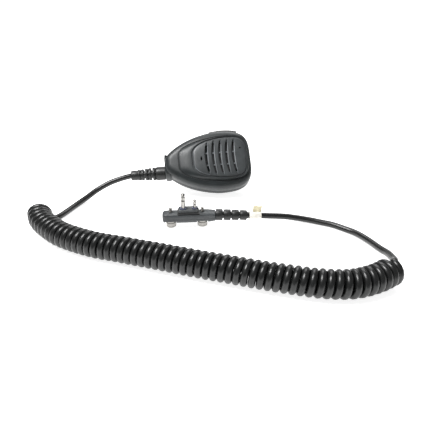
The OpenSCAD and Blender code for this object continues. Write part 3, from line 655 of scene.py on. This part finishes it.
def tag():
    """Paper tape folded round the cable, and the small flag of it that stands up."""
    band_shape = [(0, 2.75), (0, 3.2), (0.2, 3.3), (4.8, 3.25), (9.5, 3.32), (9.7, 3.2), (9.7, 2.75)]
    band = turned(band_shape, 40, lambda z, angle, r: r + 0.06 * math.sin(3 * angle + z * 0.8))
    along_cable = Matrix.Translation(TAG_AT) @ Matrix.Rotation(math.pi / 2, 4, "Y")
    piece("tag_band", *band, TAPE, place=along_cable, replaces=("cord_tag",))
    ripple = [(2.6 + 7.1 * k / 12, 0.35 * math.sin(k * 0.55)) for k in range(13)]
    section = [[(x, y - 0.22, 2.9), (x, y + 0.22, 2.9),
                (x + 0.5, y * 1.6 + 0.2, 8.4), (x + 0.5, y * 1.6 - 0.2, 8.4)] for x, y in ripple]
    piece("tag_flag", *loft(section), FLAG, place=Matrix.Translation(TAG_AT))


# ---- The cord --------------------------------------------------------------------------------

def spline(points, steps):
    """A smooth path through given points."""
    vectors = [Vector(p) for p in points]
    path = []
    for i in range(len(vectors) - 1):
        a, b, c, d = (vectors[min(max(i + k, 0), len(vectors) - 1)] for k in (-1, 0, 1, 2))
        for k in range(steps):
            t = k / steps
            path.append(0.5 * (2 * b + (c - a) * t + (2 * a - 5 * b + 4 * c - d) * t ** 2
                               + (3 * b - a - 3 * c + d) * t ** 3))
    return path + [vectors[-1]]


def length_of(path):
    """The length of a path of points."""
    return sum((b - a).length for a, b in zip(path, path[1:]))


def curl_path():
    """The curly stretch: a left-handed helix round its middle line, half a turn from bottom to top."""
    middle = spline([(x, y, CURL_R * MM) for x, y in CURL_ROUTE], 24)
    total = length_of(middle)
    turns = round(total / TURN_PITCH) + 0.5
    radius = (CURL_R - CABLE_R - 0.05) * MM
    walked = [0]
    for a, b in zip(middle, middle[1:]):
        walked.append(walked[-1] + (b - a).length)
    count = round(turns * POINTS_PER_TURN)
    path, at = [], 0
    for k in range(count + 1):
        distance = total * k / count
        while at < len(middle) - 2 and walked[at + 1] < distance:
            at += 1
        share = (distance - walked[at]) / (walked[at + 1] - walked[at])
        centre = middle[at].lerp(middle[at + 1], share)
        ahead = (middle[at + 1] - middle[at]).normalized()
        side = Vector((0, 0, 1)).cross(ahead)
        angle = math.pi + 2 * math.pi * turns * k / count
        path.append(centre + radius * (math.cos(angle) * Vector((0, 0, 1)) + math.sin(angle) * side))
    return path


def cord():
    """The whole cord as one curve: from the microphone, through the curl, to the plug."""
    curl = curl_path()
    first = spline(MIC_ROUTE + [tuple(curl[0])], 6)[:-1]
    last = spline([tuple(curl[-1])] + PLUG_ROUTE[::-1], 6)[1:]
    path = first + curl + last
    curve = bpy.data.curves.new("curly_cord", "CURVE")
    curve.dimensions = "3D"
    curve.bevel_depth = CABLE_R * MM
    curve.bevel_resolution = 5
    curve.use_fill_caps = True
    line = curve.splines.new("POLY")
    line.points.add(len(path) - 1)
    for point, where in zip(line.points, path):
        point.co = (*where, 1)
    line.use_smooth = True
    curve.materials.append(JACKET)
    obj = bpy.data.objects.new("curly_cord", curve)
    bpy.context.scene.collection.objects.link(obj)
    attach(obj, "microphone")
    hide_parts("mic_lead", "coil_cord", "plug_lead")
    return obj, length_of(path)


front_shell()
neck_block()
rear_shell()
grille_panel()
mic_relief()
plug_relief()
plug_housing()
plug_boss()
for knob_x, knob_side in KNOBS:
    knob(knob_x, knob_side)
tag()
refined("ptt_key", KEY, 0.5)
refined("clip_lever", CLIP, 0.45)
refined("clip_base", CLIP, 0.3)
refined("jack_cap", CAP, 0.3)
cord_piece, cord_length = cord()
print("cord length", cord_length)

LOOKS = {
    "housing_plastic": HOUSING, "panel_plastic": PANEL, "key_plastic": KEY, "clip_plastic": CLIP,
    "cable_jacket": JACKET, "relief_rubber": RELIEF, "black_rubber": RUBBER, "cap_rubber": CAP,
    "plug_plastic": PLUG, "collar_plastic": COLLAR, "board_green": BOARD, "switch_ivory": IVORY,
    "switch_black": CLIP, "speaker_film": FILM, "vent_film": VENT, "foam_rubber": FOAM,
    "acoustic_mesh": MESH, "plated_steel": STEEL, "magnet_steel": DARK_STEEL, "screw_steel": SCREW,
    "aluminium_can": CAN, "nickel_contact": CONTACT, "nickel_knob": KNOB, "paper_tape": TAPE}
for part in frame["record"]["subparts"]:
    node = frame["nodes"][part["node"]]
    node.data.materials.clear()
    node.data.materials.append(LOOKS[part["material_slot"]])


# ---- The stage -------------------------------------------------------------------------------

LIGHTS = (("top", (-0.35, -0.12, 0.85), 0.45, 11), ("back", (0.2, 0.7, 0.75), 0.7, 5))
CAMERA_AT = (-0.0176, -0.3521, 0.172)
CAMERA_TURN, CAMERA_TILT = math.radians(-4), math.radians(30)


def looking(place, ahead):
    """A lamp's or camera's frame at a place, looking ahead."""
    return Matrix.Translation(place) @ ahead.to_track_quat("-Z", "Y").to_matrix().to_4x4()


def stage():
    """A plain white table, soft light from above and a camera at the object's usual viewing angle."""
    material, _, shader = new_material("table_look")
    shader.inputs["Base Color"].default_value = (0.8, 0.8, 0.8, 1)
    shader.inputs["Emission Color"].default_value = (1, 1, 1, 1)
    shader.inputs["Emission Strength"].default_value = 0.82
    shader.inputs["Roughness"].default_value = 0.9
    shader.inputs["Specular IOR Level"].default_value = 0.1
    bpy.ops.mesh.primitive_plane_add(size=60, location=(0, 0, 0))
    table = bpy.context.object
    table.name = "table"
    table.data.materials.append(material)

    world = bpy.data.worlds.new("studio")
    bpy.context.scene.world = world
    world.use_nodes = True
    world.node_tree.nodes["Background"].inputs["Color"].default_value = (1, 1, 1, 1)
    world.node_tree.nodes["Background"].inputs["Strength"].default_value = 0.3

    for name, place, size, power in LIGHTS:
        light = bpy.data.lights.new(name, "AREA")
        light.size, light.energy = size, power
        lamp = bpy.data.objects.new(name, light)
        lamp.matrix_world = looking(place, -Vector(place))
        bpy.context.scene.collection.objects.link(lamp)

    camera = bpy.data.cameras.new("camera")
    camera.sensor_width, camera.lens = 36, 33.5
    camera.shift_y = 0.0016
    camera.clip_start = 0.01
    eye = bpy.data.objects.new("camera", camera)
    turn, tilt = CAMERA_TURN, CAMERA_TILT
    back = Vector((math.sin(turn) * math.cos(tilt), -math.cos(turn) * math.cos(tilt), math.sin(tilt)))
    eye.matrix_world = looking(CAMERA_AT, -back)
    bpy.context.scene.collection.objects.link(eye)
    bpy.context.scene.camera = eye
    bpy.context.scene.view_settings.view_transform = "Standard"


stage()
